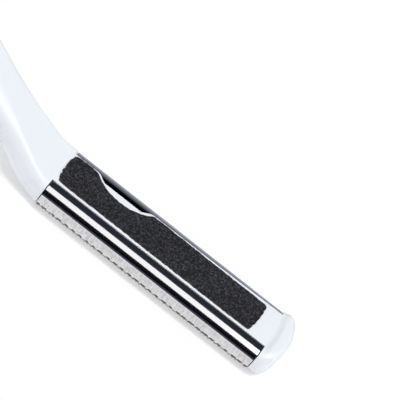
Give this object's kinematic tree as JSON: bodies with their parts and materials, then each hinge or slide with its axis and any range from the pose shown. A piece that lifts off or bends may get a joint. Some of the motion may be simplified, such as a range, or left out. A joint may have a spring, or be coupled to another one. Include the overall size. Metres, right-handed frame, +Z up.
{
  "type": "foot file",
  "caption": "Two-sided foot file: cranked plastic handle, clip-on toothed steel rasp shell below, black abrasive sheet on top, notch at the edge for lifting the shell off.",
  "frame": {"origin": "on the plane of the tooth tips, under the middle of the overall length and width", "axes": "+X from the grip to the tip, +Y to the finger notch's side, +Z up through the abrasive side"},
  "size_m": [0.2164, 0.0308, 0.0658],
  "materials": {
    "white_plastic": "gloss",
    "stainless_steel": "polished",
    "adhesive": "satin",
    "backing_paper": "matte",
    "black_grit": "matte"
  },
  "bodies": {
    "rasp": {"rasp_shell": "stainless_steel"},
    "handle": {"handle_body": "white_plastic", "adhesive_film": "adhesive", "abrasive_backing": "backing_paper", "abrasive_grit": "black_grit"}
  },
  "joints": [
    {"name": "shell_clip", "type": "slide", "parent": "rasp", "child": "handle", "axis": [0, 0, 1], "range_m": [0, 0.026]}
  ]
}
